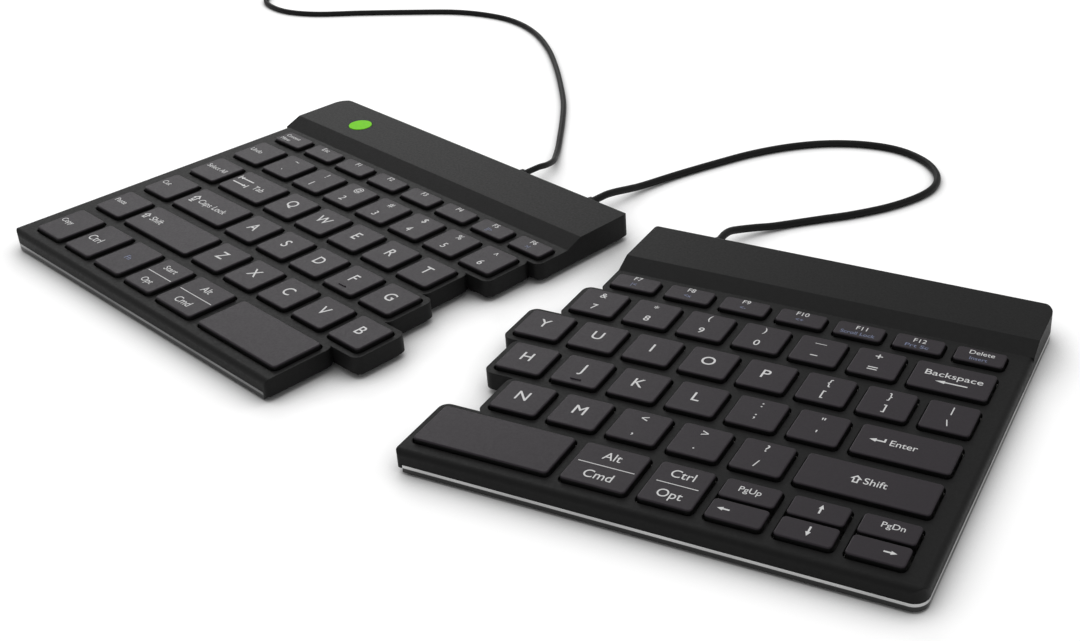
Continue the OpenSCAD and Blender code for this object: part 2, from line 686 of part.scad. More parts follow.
// A dome under each key, narrower where the key's skirt leaves less room
module dome_sheet(s) {
  color([0.75, 0.75, 0.72]) half(s) {
    key_sheet(s, sheet_z, sheet_t);
    for (k = concat(tall_keys[s], short_keys[s])) at_middle(k) translate([0, 0, dome_z - sheet_t / 2])
      cylinder(d1 = min(dome_d, k[3] - 2 * cap_wall - 2 * seat_gap), d2 = dome_top_d,
        h = dome_h + sheet_t / 2);
  }
}

module frame(w, tilt) {
  rotate([0, tilt, 0]) translate([0, 0, -lever_t / 2]) linear_extrude(lever_t) difference() {
    square([lever_l, w], center = true);
    square([lever_l - 2 * lever_bar, w - 2 * lever_bar], center = true);
  }
}

module scissor_levers(s) {
  inner_w = lever_w - 2 * lever_bar - 2 * lever_gap;
  pin_l = 2 * lever_bar + lever_gap;
  color([0.85, 0.85, 0.83]) half(s) for (k = tall_keys[s])
    at_middle(k) translate([0, 0, (dome_z + cap_under) / 2]) {
      frame(lever_w, lever_tilt);
      frame(inner_w, -lever_tilt);
      for (y = [-1, 1]) translate([0, y * lever_w / 2, 0]) rotate([y * 90, 0, 0])
        cylinder(d = pin_d, h = pin_l, $fn = pin_fn);
    }
}

module board(s) {
  color([0.1, 0.35, 0.2]) half(s) translate([board_x[s], board_y, board_z - board_t]) {
    cube([board_len[s], board_d, board_t]);
    translate([(board_len[s] - chip_w) / 2, (board_d - chip_w) / 2, board_t - eps])
      cube([chip_w, chip_w, chip_h]);
    for (x = [1, 3] * board_len[s] / 4) translate([x - part_w / 2, part_edge, board_t - eps])
      cube([part_w, part_d, chip_h]);
  }
}

module feet(s) {
  color([0.1, 0.1, 0.1]) half(s) for (x = feet_x[s], y = feet_y) translate([x, y, 0])
    cylinder(d = foot_d, h = foot_h);
}

module screws(s) {
  color([0.55, 0.55, 0.57]) half(s) for (p = bosses[s])
    translate([p[0], p[1], plate_z]) {
      translate([0, 0, -screw_head_h]) cylinder(d = screw_head_d, h = screw_head_h);
      translate([0, 0, -eps]) cylinder(d = screw_d, h = plate_t + screw_grip);
    }
}

// A sleeve through the rear wall that tapers to the cable, with a flange inside
module relief_set(s) {
  sleeve = case_wall + relief_rim;
  color([0.09, 0.09, 0.09]) half(s) for (x = reliefs[s])
    translate([x, relief_end, relief_z]) rotate([90, 0, 0]) {
      cylinder(d1 = relief_tip_d, d2 = relief_d, h = relief_l);
      translate([0, 0, relief_l - eps]) cylinder(d = relief_d, h = sleeve + eps);
      translate([0, 0, relief_l + case_wall]) cylinder(d = relief_d + 2 * relief_rim, h = relief_rim);
    }
}

module light() {
  color([0.3, 0.9, 0.15]) half(0) translate([light_pos[0], light_pos[1], roof_z - light_rim]) {
    cylinder(d = light_d, h = light_rim + deck_t + light_proud);
    cylinder(d = light_d + 2 * light_rim, h = light_rim);
  }
}

// Cable, coil, strap and plug

module cable(path, d, sides = cable_sides) {
  color([0.08, 0.08, 0.08]) tube(path, d, sides);
}

module strap() {
  span_w = coil_turns * coil_pitch + host_d + 2 * tie_gap;
  span_h = (coil_layers - 1) * coil_pitch + host_d + 2 * tie_gap;
  low = coil_low - host_d / 2 - tie_gap;
  color([0.07, 0.07, 0.07]) translate([coil_mid[0], coil_mid[1], low]) rotate(coil_start + 180)
    translate([coil_r - span_w / 2, tie_w / 2, 0]) rotate([90, 0, 0]) linear_extrude(tie_w)
      difference() {
        translate([-tie_t, -tie_t]) square([span_w + 2 * tie_t, span_h + 2 * tie_t]);
        square([span_w, span_h]);
      }
}

module at_plug() {
  translate(plug_pos) rotate(coil_end_a) children();
}

module plug_grip() {
  color([0.07, 0.07, 0.07]) at_plug() translate([-grip_w / 2, 0, -grip_h / 2])
    cube([grip_w, grip_l, grip_h]);
}

module plug_shell() {
  color([0.75, 0.75, 0.77]) at_plug() translate([0, grip_l, 0]) difference() {
    translate([-shell_w / 2, 0, -shell_h / 2]) cube([shell_w, shell_l, shell_h]);
    translate([-shell_w / 2 + shell_t, shell_t, -shell_h / 2 + shell_t])
      cube([shell_w - 2 * shell_t, shell_l, shell_h - 2 * shell_t]);
  }
}

function run_length(p, i = 1) = i >= len(p) ? 0 : norm(p[i] - p[i - 1]) + run_length(p, i + 1);
echo(coil_self_gap = coil_self_gap);
echo(link_length = run_length(smooth(link_route, 2)));
echo(host_length = run_length(smooth(host_full, 2)) + run_length(coil_route));

top_case(0);  // left_top_case
base_plate(0);  // left_base_plate
switch_plate(0);  // left_switch_plate
membrane(0);  // left_membrane
dome_sheet(0);  // left_dome_sheet
scissor_levers(0);  // left_scissor_levers
board(0);  // controller_board
feet(0);  // left_feet
screws(0);  // left_screws
light();  // status_light
relief_set(0);  // left_cable_reliefs
caps(0, side_keys);  // left_side_keys
caps(0, escape);  // escape_key
caps(0, left_functions);  // left_function_keys
caps(0, left_numbers);  // left_number_keys
caps(0, tab);  // tab_key
caps(0, left_upper);  // left_upper_keys
caps(0, caps_lock);  // caps_lock_key
caps(0, left_home);  // left_home_keys
caps(0, left_shift);  // left_shift_key
caps(0, left_lower);  // left_lower_keys
caps(0, [left_low[0]]);  // left_ctrl_key
caps(0, [left_low[1]]);  // fn_key
caps(0, [left_low[2]]);  // left_meta_key
caps(0, left_alt);  // left_alt_key
caps(0, left_space);  // left_space_key
top_case(1);  // right_top_case
base_plate(1);  // right_base_plate
switch_plate(1);  // right_switch_plate
membrane(1);  // right_membrane
dome_sheet(1);  // right_dome_sheet
scissor_levers(1);  // right_scissor_levers
board(1);  // link_board
feet(1);  // right_feet
screws(1);  // right_screws
relief_set(1);  // right_link_relief
caps(1, right_functions);  // right_function_keys
caps(1, delete);  // delete_key
caps(1, right_numbers);  // right_number_keys
caps(1, backspace);  // backspace_key
caps(1, right_upper);  // right_upper_keys
caps(1, right_home);  // right_home_keys
caps(1, enter);  // enter_key
caps(1, right_lower);  // right_lower_keys
caps(1, right_shift);  // right_shift_key
caps(1, right_space);  // right_space_key
caps(1, right_alt);  // right_alt_key
caps(1, right_ctrl);  // right_ctrl_key
caps(1, arrow(0, 1));  // page_up_key
caps(1, arrow(0, 0));  // arrow_left_key
caps(1, arrow(1, 1));  // arrow_up_key
caps(1, arrow(1, 0));  // arrow_down_key
caps(1, arrow(2, 1));  // page_down_key
caps(1, arrow(2, 0));  // arrow_right_key
cable(smooth(link_route, 2), link_d);  // link_cable
cable(smooth(host_full, 2), host_d);  // host_cable
cable(coil_route, host_d, coil_sides);  // host_cable_coil
strap();  // cable_tie
plug_grip();  // usb_plug_grip
plug_shell();  // usb_plug_shell
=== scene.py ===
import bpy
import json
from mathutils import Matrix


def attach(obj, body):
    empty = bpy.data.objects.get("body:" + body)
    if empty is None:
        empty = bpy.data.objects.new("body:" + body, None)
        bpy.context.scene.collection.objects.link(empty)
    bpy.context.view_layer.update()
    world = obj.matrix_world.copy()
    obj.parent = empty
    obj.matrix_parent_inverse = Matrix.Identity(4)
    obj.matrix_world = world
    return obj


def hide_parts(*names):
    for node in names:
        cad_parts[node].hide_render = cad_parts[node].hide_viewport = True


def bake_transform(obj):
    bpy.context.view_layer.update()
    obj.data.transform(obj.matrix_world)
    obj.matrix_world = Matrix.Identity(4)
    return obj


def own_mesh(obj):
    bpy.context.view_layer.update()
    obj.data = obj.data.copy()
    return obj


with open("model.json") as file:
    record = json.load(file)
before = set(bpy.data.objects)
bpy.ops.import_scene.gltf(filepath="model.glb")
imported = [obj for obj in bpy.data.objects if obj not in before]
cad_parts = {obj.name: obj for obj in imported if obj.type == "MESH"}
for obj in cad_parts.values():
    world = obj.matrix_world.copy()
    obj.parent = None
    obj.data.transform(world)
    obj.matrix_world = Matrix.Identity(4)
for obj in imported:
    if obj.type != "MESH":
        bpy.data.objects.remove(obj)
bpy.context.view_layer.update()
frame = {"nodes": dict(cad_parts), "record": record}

# Split keyboard: finishes, key caps, legends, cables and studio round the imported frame. Metres.
import json
from math import cos, floor, pi, radians, sin

import bmesh
import bpy
from mathutils import Matrix, Quaternion, Vector

MM = 0.001
scene = bpy.context.scene
nodes = frame["nodes"]
body_of_node = {n: b for b, members in frame["record"]["behaviour"]["bodies"].items() for n in members}

# Camera, from the key grid as the photograph shows it
PHOTO = (1080, 641)
FOCAL_PX = 1499.3
AXIS_PX = (778.7, 243.1)
SENSOR = 36
CAMERA_AT = Vector((0.29083, -0.32606, 0.26050))
CAMERA_AIM = Vector((0.05082, 0.08711, 0))
CAMERA_ROLL = radians(0.4875)

# Placing of the halves, as in the part: left, right
HALF_AT = (Vector((-0.15978, 0.02477, 0)), Vector((0.02352, -0.00093, 0)))
HALF_TURN = (radians(-8.6), radians(8.6))
HALVES = [Matrix.Translation(at) @ Matrix.Rotation(turn, 4, "Z") for at, turn in zip(HALF_AT, HALF_TURN)]

# Cables, as in the part
LINK_D = 2.8 * MM
HOST_D = 2.4 * MM
LINK_STEPS, HOST_STEPS = 8, 6
RELIEF_END = 65.1
RELIEF_Z = 6.1
LEFT_LINK_X, HOST_X, RIGHT_LINK_X = 132, 95, 24


def add(obj):
    scene.collection.objects.link(obj)
    return obj


# Camera

camera = add(bpy.data.objects.new("camera", bpy.data.cameras.new("camera")))
camera.data.sensor_width = SENSOR
camera.data.lens = FOCAL_PX / PHOTO[0] * SENSOR
camera.data.shift_x = (PHOTO[0] / 2 - AXIS_PX[0]) / PHOTO[0]
camera.data.shift_y = (AXIS_PX[1] - PHOTO[1] / 2) / PHOTO[0]
camera.data.clip_start, camera.data.clip_end = 0.02, 20
camera.location = CAMERA_AT
camera.rotation_mode = "QUATERNION"
look = (CAMERA_AIM - CAMERA_AT).to_track_quat("-Z", "Y")
camera.rotation_quaternion = look @ Quaternion((0, 0, 1), CAMERA_ROLL)
scene.camera = camera


# Cable routes

def leave(side, x, far, z):
    """A point behind a strain relief, straight out from its tip, in metres."""
    return HALVES[side] @ (Vector((x, RELIEF_END + far, z)) * MM)


def at(points):
    return [Vector(p) * MM for p in points]


def smooth(route, steps):
    """A smooth curve through the route's points."""
    path = []
    last = len(route) - 1
    for i in range(last):
        a, b, c, d = route[max(i - 1, 0)], route[i], route[i + 1], route[min(i + 2, last)]
        for j in range(steps):
            t = j / steps
            path.append(0.5 * (2 * b + (c - a) * t + (2 * a - 5 * b + 4 * c - d) * t ** 2
                               + (3 * b - a - 3 * c + d) * t ** 3))
    return path + [route[last]]


link_route = (
    [leave(0, LEFT_LINK_X, far, z)
     for far, z in ((0, RELIEF_Z), (4, RELIEF_Z), (8, 6), (13, 5.2), (20, 3.7))]
    + at([(-15.5, 96.5, 2.3), (-10.5, 112.5, 1.5), (-3.5, 128.5, 1.4), (4.5, 144.5, 1.4),
          (14.5, 158.5, 1.4), (26.5, 169.5, 1.4), (40.5, 176.5, 1.4), (54.5, 178.5, 1.4),
          (67.5, 174.5, 1.4), (76.5, 166.5, 1.4), (80.5, 156.5, 1.4), (79.5, 145.5, 1.4),
          (73.5, 131.5, 1.4), (64.5, 118.5, 1.4), (56.5, 109.5, 1.4), (49.5, 101.5, 1.4), (44, 94, 1.9),
          (40.5, 88.5, 2.9), (37.5, 82, 4.3), (36.5, 77, 5.6)])
    + [leave(1, RIGHT_LINK_X, far, RELIEF_Z) for far in (6, 3, 0)])
host_route = (
    [leave(0, HOST_X, far, z) for far, z in ((0, RELIEF_Z), (4, RELIEF_Z), (8, 6))]
    + at([(-55, 87.5, 5), (-57, 94, 3.5), (-61, 100.5, 2.1), (-66, 108.5, 1.3), (-72, 117.5, 1.2),
          (-81.5, 131.5, 1.2), (-92.5, 146.5, 1.2), (-105.5, 161.5, 1.2), (-121.5, 178.5, 1.2),
          (-138.5, 194.5, 1.2), (-156.5, 207.5, 1.2), (-173.5, 214.5, 1.2), (-189.5, 215.5, 1.2),
          (-208.5, 210.5, 1.2), (-229.5, 197.5, 1.2), (-248.5, 184.5, 1.2), (-266.5, 171.5, 1.2),
          (-282.5, 166.5, 1.2), (-297.5, 169.5, 1.2), (-305.5, 176.5, 1.3), (-309.5, 185.5, 1.8)]))

# Coil of the length that the photograph doesn't show
COIL_MID = Vector((-329.5, 205.5, 0)) * MM
COIL_R = 14 * MM
COIL_TURNS, COIL_LAYERS, COIL_STEPS = 3, 4, 24
COIL_PITCH = 2.95 * MM
COIL_LOW = 2.4 * MM
CLIMB = 0.5
LEAD = 9 * MM
TAIL, TAIL_STEPS, TAIL_LEVEL = 34 * MM, 10, 0.15
PLUG_Z = 3.75 * MM


def ramp(t):
    t = min(max(t, 0), 1)
    return t * t * (3 - 2 * t)


def coil_point(u):
    layer = floor(u / COIL_TURNS)
    v = u - layer * COIL_TURNS
    r = COIL_R + COIL_TURNS * COIL_PITCH / 2 - COIL_PITCH * (v if layer % 2 == 0 else COIL_TURNS - v)
    rise = sum(ramp((u - k * COIL_TURNS) / CLIMB + CLIMB) for k in range(1, COIL_LAYERS))
    return COIL_MID + Vector((r * cos(2 * pi * u), r * sin(2 * pi * u), COIL_LOW + COIL_PITCH * rise))


loops = [coil_point(i / COIL_STEPS) for i in range(COIL_STEPS * COIL_TURNS * COIL_LAYERS + 1)]
AHEAD = Vector((0, 1, 0))
lead = [loops[0] - AHEAD * LEAD * t for t in (1, 2 / 3, 1 / 3)]
tail = []
for i in range(1, TAIL_STEPS + 1):
    t = i / TAIL_STEPS
    drop = (PLUG_Z - loops[-1].z) * ramp((t - TAIL_LEVEL) / (1 - 2 * TAIL_LEVEL))
    tail.append(loops[-1] + AHEAD * TAIL * t + Vector((0, 0, drop)))
plug_at = tail[-1]


# Materials

# Cells of the mottling and of the gloss, counted in cells of the grain
MOTTLE, GLOSS = 12, 5
BUMP = 0.6
NOISE_RANGE = (0.3, 0.7)
PAINTED_SHADE_SOFT = 0.06 * MM
LIGHT_GRAIN = 900


def material(name):
    """A new material with its Principled shader, its node tree and a function that adds a node."""
    mat = bpy.data.materials.new(name)
    mat.use_nodes = True
    tree = mat.node_tree
    shader = tree.nodes["Principled BSDF"]

    def node(kind, **values):
        n = tree.nodes.new(kind)
        for key, value in values.items():
            if hasattr(n, key):
                setattr(n, key, value)
            else:
                n.inputs[key.replace("_", " ")].default_value = value
        return n

    return mat, shader, tree, node


def surface_noise(tree, node, scale, detail=4, stretch=(1, 1, 1)):
    """Noise on the object's own coordinates, its cells about 1 / scale metres across."""
    coords = node("ShaderNodeTexCoord")
    mapping = node("ShaderNodeMapping")
    mapping.inputs["Scale"].default_value = stretch
    noise = node("ShaderNodeTexNoise", Scale=scale, Detail=detail)
    tree.links.new(coords.outputs["Object"], mapping.inputs["Vector"])
    tree.links.new(mapping.outputs["Vector"], noise.inputs["Vector"])
    return noise.outputs["Fac"]


def spread(tree, node, value, source, target):
    """A value stretched from one range to another and held inside it."""
    stretch = node("ShaderNodeMapRange")
    for key, number in zip(("From Min", "From Max", "To Min", "To Max"), (*source, *target)):
        stretch.inputs[key].default_value = number
    tree.links.new(value, stretch.inputs["Value"])
    return stretch.outputs["Result"]


def blend_colour(tree, node, fac, low, high):
    """A colour between low and high, each a colour or an output that gives one."""
    mix = node("ShaderNodeMix", data_type="RGBA")
    tree.links.new(fac, mix.inputs[0])
    for socket, colour in ((mix.inputs[6], low), (mix.inputs[7], high)):
        if isinstance(colour, tuple):
            socket.default_value = (*colour, 1)
        else:
            tree.links.new(colour, socket)
    return mix.outputs[2]


def above(tree, node, height, soft):
    """0 below a height of the object, 1 above it."""
    coords = node("ShaderNodeTexCoord")
    axes = node("ShaderNodeSeparateXYZ")
    tree.links.new(coords.outputs["Object"], axes.inputs[0])
    return spread(tree, node, axes.outputs["Z"], (height - soft, height + soft), (0, 1))


def moulded(name, dark, light, rough, grain, depth, metallic=0.0, stretch=(1, 1, 1), specular=0.5,
            low=None, rounding=0.0):
    """Mottled colour from dark to light, uneven gloss and a fine grain; low is (height, colour below), a
    painted shade under that height.

    rounding is the radius that softens the light along sharp edges."""
    mat, shader, tree, node = material(name)
    mottle = surface_noise(tree, node, grain / MOTTLE, 5, stretch)
    colour = blend_colour(tree, node, mottle, dark, light)
    if low:
        # Painted shade: below the given height the surface takes the dark colour in low.
        colour = blend_colour(tree, node, above(tree, node, low[0], PAINTED_SHADE_SOFT), low[1], colour)
    tree.links.new(colour, shader.inputs["Base Color"])
    gloss = surface_noise(tree, node, grain / GLOSS, 3, stretch)
    tree.links.new(spread(tree, node, gloss, NOISE_RANGE, rough), shader.inputs["Roughness"])
    bump = node("ShaderNodeBump", Strength=BUMP, Distance=depth)
    tree.links.new(surface_noise(tree, node, grain, 2, stretch), bump.inputs["Height"])
    if rounding:
        edges = node("ShaderNodeBevel", samples=4, Radius=rounding)
        tree.links.new(edges.outputs["Normal"], bump.inputs["Normal"])
    tree.links.new(bump.outputs["Normal"], shader.inputs["Normal"])
    shader.inputs["Metallic"].default_value = metallic
    shader.inputs["Specular IOR Level"].default_value = specular
    return mat


def grey(level, blue=0.0):
    return (level, level, level + blue)


KEY_TOP = 9.5 * MM
# Painted shade: key caps turn near black below 0.4 mm under the top, standing in for the shade on their
# sides in the wells.
CAP_SIDE_PAINTED_SHADE = (KEY_TOP - 0.4 * MM, grey(0.004))
# Painted shade: base plate steel turns dark below 2.3 mm, standing in for the lower lip's dark reflection
# of the shaded floor.
LIP_PAINTED_SHADE = (2.3 * MM, grey(0.05))
CASE = moulded("case_plastic", grey(0.005), grey(0.0075), (0.46, 0.58), 6000, 0.00002, specular=0.11,
               rounding=0.5 * MM)
KEYS = moulded("key_plastic", (0.0138, 0.0102, 0.0139), (0.0178, 0.0137, 0.0181), (0.42, 0.52), 7000,
               0.000012, specular=0.2, low=CAP_SIDE_PAINTED_SHADE)
STEEL = moulded("brushed_steel", grey(0.26), grey(0.86), (0.20, 0.38), 300, 0.000004, 1, (1, 1, 0.05),
                low=LIP_PAINTED_SHADE)
# Painted reflection: the left plate's steel is a darker copy of the same steel, standing in for a dark
# reflection of its surroundings.
DARK_REFLECTION_STEEL = moulded("steel_painted_dark_reflection", grey(0.06), grey(0.42), (0.24, 0.42), 300, 0.000004, 1, (1, 1, 0.05),
                    low=LIP_PAINTED_SHADE)
RUBBER = moulded("rubber", grey(0.010), grey(0.016), (0.6, 0.75), 5000, 0.00003, specular=0.3)
CABLE = moulded("cable_jacket", grey(0.004), grey(0.007), (0.45, 0.55), 5000, 0.00003, specular=0.12)
SHEET_STEEL = moulded("sheet_steel", grey(0.35), grey(0.45), (0.35, 0.5), 3000, 0.00001, 1)
FILM = moulded("film", (0.55, 0.57, 0.53), (0.65, 0.67, 0.62), (0.3, 0.4), 900, 0.00001)
SILICONE = moulded("silicone", (0.5, 0.5, 0.47), (0.6, 0.6, 0.57), (0.55, 0.7), 2000, 0.00002)
LEVER = moulded("lever_plastic", (0.62, 0.62, 0.6), (0.72, 0.72, 0.7), (0.4, 0.5), 3000, 0.00001)
BOARD = moulded("board_green", (0.01, 0.10, 0.03), (0.02, 0.16, 0.06), (0.3, 0.45), 2500, 0.00002)
NICKEL = moulded("nickel", (0.6, 0.6, 0.6), (0.74, 0.73, 0.72), (0.18, 0.3), 3500, 0.00001, 1, (1, 0.1, 1))
PRINT = moulded("legend_print", grey(0.52), grey(0.64), (0.5, 0.65), 9000, 0.000005)
FAINT = moulded("legend_faint", (0.12, 0.14, 0.23), (0.15, 0.18, 0.29), (0.5, 0.65), 9000, 0.000005)


def light_material():
    mat, shader, tree, node = material("status_light")
    glow = surface_noise(tree, node, LIGHT_GRAIN, 3)
    green = blend_colour(tree, node, glow, (0.12, 0.50, 0.005), (0.21, 0.66, 0.012))
    tree.links.new(green, shader.inputs["Base Color"])
    shader.inputs["Specular IOR Level"].default_value = 0.03
    tree.links.new(spread(tree, node, glow, NOISE_RANGE, (0.3, 0.45)), shader.inputs["Roughness"])
    return mat


LIGHT = light_material()


def wear(obj, mat):
    obj.data.materials.clear()
    obj.data.materials.append(mat)
    return obj


FINISH = {
    "top_case": CASE, "left_base_plate": DARK_REFLECTION_STEEL, "base_plate": STEEL, "switch_plate": SHEET_STEEL,
    "membrane": FILM, "dome_sheet": SILICONE, "scissor_levers": LEVER, "board": BOARD, "feet": RUBBER,
    "screws": SHEET_STEEL, "status_light": LIGHT, "reliefs": RUBBER, "relief": RUBBER, "tie": RUBBER,
    "grip": RUBBER, "shell": NICKEL, "keys": KEYS, "key": KEYS, "cable": CABLE, "coil": CABLE,
}
for name, obj in nodes.items():
    wear(obj, next(mat for ending, mat in FINISH.items() if name.endswith(ending)))


# Meshes

def to_object(name, bm):
    mesh = bpy.data.meshes.new(name)
    bm.to_mesh(mesh)
    bm.free()
    return add(bpy.data.objects.new(name, mesh))


def finish_mesh(name, bm):
    bmesh.ops.recalc_face_normals(bm, faces=bm.faces)
    return to_object(name, bm)


def skin(bm, rings):
    """A closed solid through rings of as many points each."""
    rows = [[bm.verts.new(p) for p in ring] for ring in rings]
    count = len(rows[0])
    for a, b in zip(rows, rows[1:]):
        for j in range(count):
            bm.faces.new((a[j], a[(j + 1) % count], b[(j + 1) % count], b[j])).smooth = True
    bm.faces.new(reversed(rows[0]))
    bm.faces.new(rows[-1])


def rounded_rect(x0, y0, x1, y1, r, steps=6):
    corners = ((x1 - r, y1 - r, 0), (x0 + r, y1 - r, 90), (x0 + r, y0 + r, 180), (x1 - r, y0 + r, 270))
    turns = [(cx, cy, radians(a + 90 * k / steps)) for cx, cy, a in corners for k in range(steps + 1)]
    return [(cx + r * cos(a), cy + r * sin(a)) for cx, cy, a in turns]


# Cables

def curve_along(name, path, diameter):
    curve = bpy.data.curves.new(name, "CURVE")
    curve.dimensions = "3D"
    curve.bevel_depth = diameter / 2
    curve.bevel_resolution = 3
    curve.use_fill_caps = True
    spline = curve.splines.new("POLY")
    spline.points.add(len(path) - 1)
    for point, p in zip(spline.points, path):
        point.co = (*p, 1)
    spline.use_smooth = True
    return add(bpy.data.objects.new(name, curve))


def tube_mesh(name, path, diameter, sides=16):
    """A round tube along a path that is nowhere upright, closed at both ends."""
    rings = []
    for i, p in enumerate(path):
        t = (path[min(i + 1, len(path) - 1)] - path[max(i - 1, 0)]).normalized()
        n = t.cross(Vector((0, 0, 1))).normalized()
        m = n.cross(t)
        turns = [2 * pi * j / sides for j in range(sides)]
        rings.append([p + diameter / 2 * (n * cos(a) + m * sin(a)) for a in turns])
    bm = bmesh.new()
    skin(bm, rings)
    return finish_mesh(name, bm)


link_path = smooth(link_route, LINK_STEPS)
link = wear(tube_mesh("link_cord", link_path, LINK_D), CABLE)
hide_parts("link_cable")
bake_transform(link)

# Plug: a grip that swells from the cable, a sheet shell with two latch windows, and the contact tongue

GRIP = ((0, 4.6, 4.2), (0.6, 5.4, 5), (5, 6.2, 5.6), (7, 8.4, 6.4), (9, 12.6, 7.2), (11, 14.6, 7.4),
        (13, 15, 7.5), (24.6, 15, 7.5), (25.6, 14.5, 7.1), (26, 13.6, 6.4))
GRIP_R = 2 * MM
SHELL_W, SHELL_L, SHELL_H, SHELL_SHEET = 12 * MM, 18.5 * MM, 4.5 * MM, 0.4 * MM
WINDOW, WINDOW_X, WINDOW_Y = 2.4 * MM, 2.9 * MM, 9 * MM
TONGUE_W, TONGUE_L, TONGUE_H, TONGUE_R = 10.8 * MM, 17.4 * MM, 1.8 * MM, 0.3 * MM
shell_at = plug_at + AHEAD * GRIP[-1][0] * MM


def grip_mesh():
    bm = bmesh.new()
    rings = []
    for y, w, h in GRIP:
        flat = rounded_rect(-w / 2 * MM, -h / 2 * MM, w / 2 * MM, h / 2 * MM, GRIP_R)
        rings.append([plug_at + Vector((x, y * MM, z)) for x, z in flat])
    skin(bm, rings)
    return finish_mesh("plug_grip_moulding", bm)


def shell_mesh():
    bm = bmesh.new()
    xs = [-SHELL_W / 2] + [s * WINDOW_X + e * WINDOW / 2 for s in (-1, 1) for e in (-1, 1)] + [SHELL_W / 2]
    ys = [0, WINDOW_Y, WINDOW_Y + WINDOW, SHELL_L]
    grid = [[[bm.verts.new(shell_at + Vector((x, y, z))) for y in ys] for x in xs]
            for z in (-SHELL_H / 2, SHELL_H / 2)]
    for j in range(len(ys) - 1):
        for i in range(len(xs) - 1):
            if not (i in (1, 3) and j == 1):
                for sheet in grid:
                    bm.faces.new((sheet[i][j], sheet[i + 1][j], sheet[i + 1][j + 1], sheet[i][j + 1]))
        for i in (0, len(xs) - 1):
            bm.faces.new((grid[0][i][j], grid[0][i][j + 1], grid[1][i][j + 1], grid[1][i][j]))
    return finish_mesh("plug_shell_sheet", bm)


def tongue_mesh():
    bm = bmesh.new()
    flat = rounded_rect(-TONGUE_W / 2, -TONGUE_H, TONGUE_W / 2, 0, TONGUE_R)
    skin(bm, [[shell_at + Vector((x, y, z)) for x, z in flat] for y in (0, TONGUE_L)])
    return finish_mesh("plug_tongue", bm)


grip = wear(grip_mesh(), RUBBER)
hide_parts("usb_plug_grip")
shell = wear(shell_mesh(), NICKEL)
sheet = shell.modifiers.new("sheet", "SOLIDIFY")
sheet.thickness = SHELL_SHEET
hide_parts("usb_plug_shell")
tongue = wear(tongue_mesh(), LEVER)
for piece in (grip, shell, tongue):
    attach(piece, "left_half")

host_path = smooth(host_route + lead, HOST_STEPS) + loops + tail
host = wear(curve_along("host_cord", host_path, HOST_D), CABLE)
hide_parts("host_cable", "host_cable_coil")
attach(host, "left_half")


# Key caps

CAP_R = 1.3 * MM
CAP_H = 3.6 * MM
CAP_WALL = 1.0 * MM
CAP_TOP = 1.2 * MM
EDGE_R = 0.45 * MM
EDGE_STEPS = 4
HOMING = (3.6 * MM, 0.6 * MM, 0.35 * MM)
HOMING_Y = -4.6 * MM
HOMING_KEYS = {"left_home_keys": 3, "right_home_keys": 1}
LEAST_R = 0.2 * MM
SLACK = 0.01 * MM
WELD = 0.001 * MM


def welded(node):
    """A copy of a node's mesh with its corners joined."""
    bm = bmesh.new()
    bm.from_mesh(nodes[node].data)
    bmesh.ops.remove_doubles(bm, verts=bm.verts, dist=WELD)
    bm.verts.index_update()
    return bm


def islands(bm):
    """The separate solids of a mesh, as sets of its corners."""
    left = set(bm.verts)
    groups = []
    while left:
        group, edge = set(), [left.pop()]
        while edge:
            v = edge.pop()
            group.add(v)
            for e in v.link_edges:
                w = e.other_vert(v)
                if w in left:
                    left.remove(w)
                    edge.append(w)
        groups.append(group)
    return groups


def key_boxes(node, side):
    """(left, front, right, rear, top) of each key of a node, in its half's frame."""
    to_half = HALVES[side].inverted()
    bm = welded(node)
    found = []
    for group in islands(bm):
        xs, ys, zs = zip(*(to_half @ v.co for v in group))
        found.append((min(xs), min(ys), max(xs), max(ys), max(zs)))
    bm.free()
    return found


def cap_ring(box, inset, z, place):
    """The key's outline, drawn in by inset."""
    x0, y0, x1, y1 = box[0] + inset, box[1] + inset, box[2] - inset, box[3] - inset
    flat = rounded_rect(x0, y0, x1, y1, max(CAP_R - inset, LEAST_R))
    return [place @ Vector((x, y, z)) for x, y in flat]


def add_cap(bm, box, place):
    """One cap, hollow underneath: skirt, rounded upper edge and a flat top."""
    top = box[4]
    levels = [(CAP_WALL, top - CAP_TOP), (CAP_WALL, top - CAP_H), (0, top - CAP_H)]
    for k in range(EDGE_STEPS + 1):
        a = radians(90 * k / EDGE_STEPS)
        levels.append((EDGE_R * (1 - cos(a)), top - EDGE_R * (1 - sin(a))))
    skin(bm, [cap_ring(box, inset, z, place) for inset, z in levels])


def key_middle(box):
    return Vector(((box[0] + box[2]) / 2, (box[1] + box[3]) / 2, box[4]))


def add_homing_bar(bm, box, place):
    """A raised bar that the fingers find, fused to the cap's top."""
    w, d, h = HOMING
    mid = key_middle(box) + Vector((0, HOMING_Y, 0))
    rings = []
    for inset, z in ((0, -h), (0, h / 2), (d / 6, h)):
        x, y = w / 2 - inset, d / 2 - inset
        flat = rounded_rect(-x, -y, x, y, y - SLACK)
        rings.append([place @ (mid + Vector((x, y, z))) for x, y in flat])
    skin(bm, rings)


